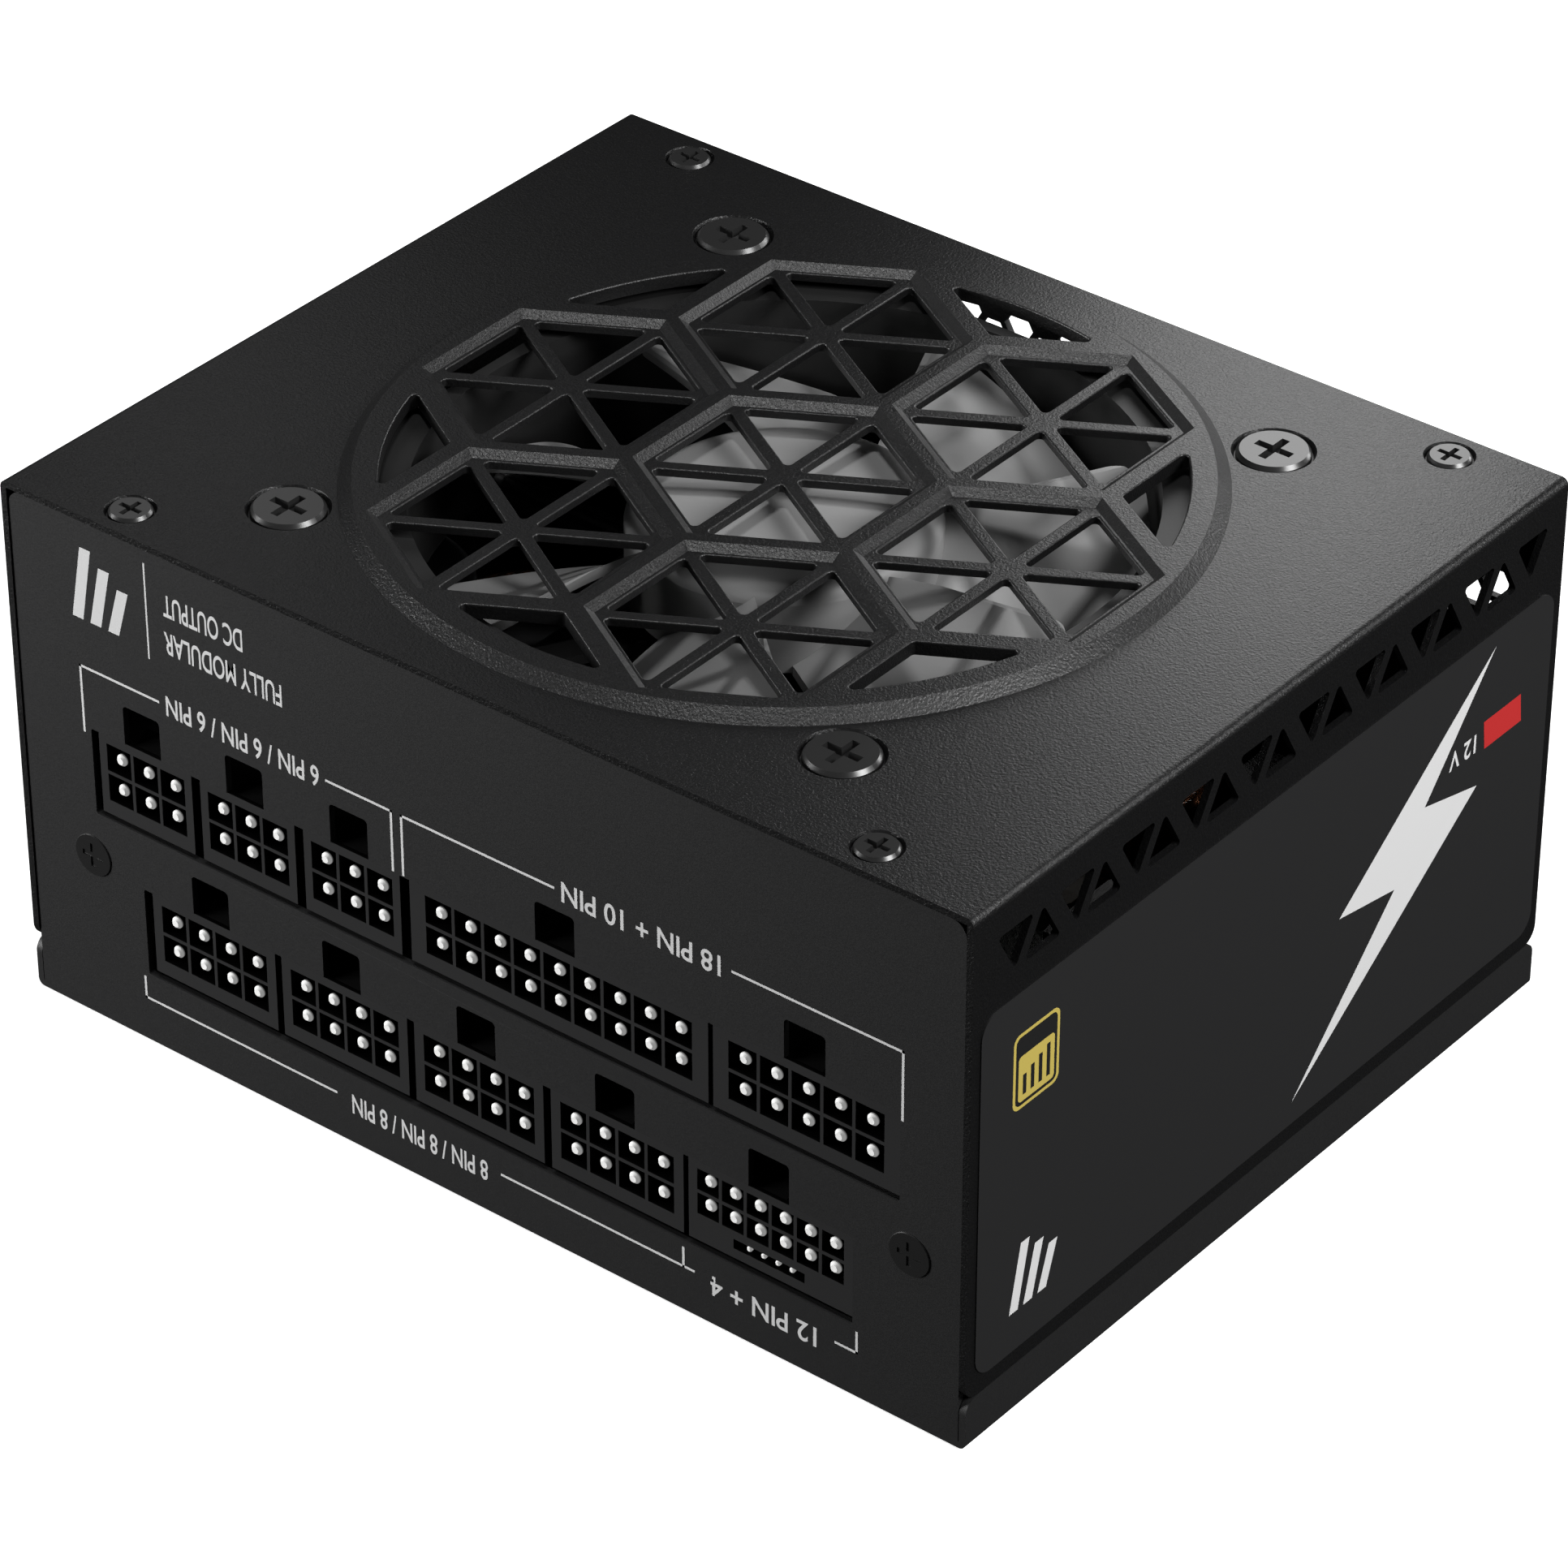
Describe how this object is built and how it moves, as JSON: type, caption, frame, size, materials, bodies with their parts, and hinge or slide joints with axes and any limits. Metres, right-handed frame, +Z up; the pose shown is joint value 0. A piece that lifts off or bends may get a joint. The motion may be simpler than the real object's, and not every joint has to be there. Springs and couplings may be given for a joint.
{
  "type": "power supply unit",
  "caption": "Compact modular computer power supply: folded steel case, round fan grille over an axial fan, rows of DC output sockets, and an AC inlet with rocker switch at the back.",
  "frame": {"origin": "centre of the case's bottom face", "axes": "+Z up towards the fan grille, +X along the row of output sockets, -Y out of the socket panel, +Y out of the rear panel with the AC inlet"},
  "size_m": [0.1252, 0.1027, 0.0647],
  "materials": {
    "case_paint": "fine wrinkle powder coat, semi-gloss",
    "case_screws": "black, satin",
    "side_label": "satin printed film",
    "rating_label": "matt printed label",
    "fan_plastic": "satin",
    "rotor_plastic": "satin",
    "shaft_steel": "ground",
    "yoke_steel": "zinc plated",
    "magnet_ferrite": "bonded ferrite",
    "bearing_bronze": "sintered bronze",
    "stator_laminations": "stacked sheet",
    "copper": "enamelled copper wire",
    "circuit_board": "black solder resist",
    "fan_wire": "insulated wire",
    "inlet_plastic": "moulded",
    "contact_metal": "tin or nickel plate",
    "switch_plastic": "moulded",
    "rocker_plastic": "moulded",
    "insulator_film": "fish paper",
    "standoff_brass": "turned",
    "zinc_screws": "zinc plated",
    "socket_plastic": "satin nylon",
    "contact_pins": "bright tin",
    "capacitor_sleeve": "shrink sleeve",
    "capacitor_can": "bright can",
    "ferrite": "sintered ferrite",
    "winding_tape": "black polyester tape",
    "heatsink": "extruded, black anodised",
    "transistor_epoxy": "moulded epoxy",
    "film_capacitor": "moulded box",
    "disc_capacitor": "dipped disc",
    "fuse_glass": "ceramic tube with plated caps",
    "busbar": "tinned copper",
    "mains_wire": "insulated wire"
  },
  "bodies": {
    "case": {"ac_inlet": "inlet_plastic", "board_insulator": "insulator_film", "board_screws": "zinc_screws", "board_spacers": "standoff_brass", "bridge_rectifier": "transistor_epoxy", "bulk_capacitor": "capacitor_sleeve", "busbars": "busbar", "common_mode_choke": "copper", "control_board": "circuit_board", "cover_screws": "case_screws", "fan_board": "circuit_board", "fan_frame": "fan_plastic", "fan_lead": "fan_wire", "fan_screws": "case_screws", "fan_spider": "fan_plastic", "fan_stator": "stator_laminations", "fuse": "fuse_glass", "inlet_blades": "contact_metal", "lower_case": "case_paint", "lower_row_pins": "contact_pins", "main_board": "circuit_board", "mains_wires": "mains_wire", "modular_board": "circuit_board", "output_capacitors": "capacitor_can", "output_choke": "copper", "panel_screws": "case_screws", "pfc_choke_core": "ferrite", "pfc_choke_winding": "copper", "power_transistors": "transistor_epoxy", "primary_heatsink": "heatsink", "rating_label": "rating_label", "secondary_heatsink": "heatsink", "side_label": "side_label", "sleeve_bearing": "bearing_bronze", "socket_10pin": "socket_plastic", "socket_18pin": "socket_plastic", "socket_6pin_1": "socket_plastic", "socket_6pin_2": "socket_plastic", "socket_6pin_3": "socket_plastic", "socket_8pin_1": "socket_plastic", "socket_8pin_2": "socket_plastic", "socket_8pin_3": "socket_plastic", "socket_8pin_4": "socket_plastic", "socket_high_power": "socket_plastic", "standby_transformer": "winding_tape", "standoffs": "standoff_brass", "stator_coils": "copper", "switch_body": "switch_plastic", "switch_terminals": "contact_metal", "top_cover": "case_paint", "transformer_core": "ferrite", "transformer_winding": "winding_tape", "upper_row_pins": "contact_pins", "x_capacitor": "film_capacitor", "y_capacitors": "disc_capacitor"},
    "fan": {"fan_rotor": "rotor_plastic", "fan_shaft": "shaft_steel", "rotor_yoke": "yoke_steel", "rotor_magnet": "magnet_ferrite"},
    "rocker": {"switch_rocker": "rocker_plastic"}
  },
  "joints": [
    {"name": "fan_spin", "type": "hinge", "parent": "case", "child": "fan", "pos_m": [0, 0, 0.0542], "axis": [0, 0, 1], "continuous": true},
    {"name": "switch_rock", "type": "hinge", "parent": "case", "child": "rocker", "pos_m": [0.004, 0.048, 0.024], "axis": [-1, 0, 0], "range_deg": [0, 20]}
  ]
}
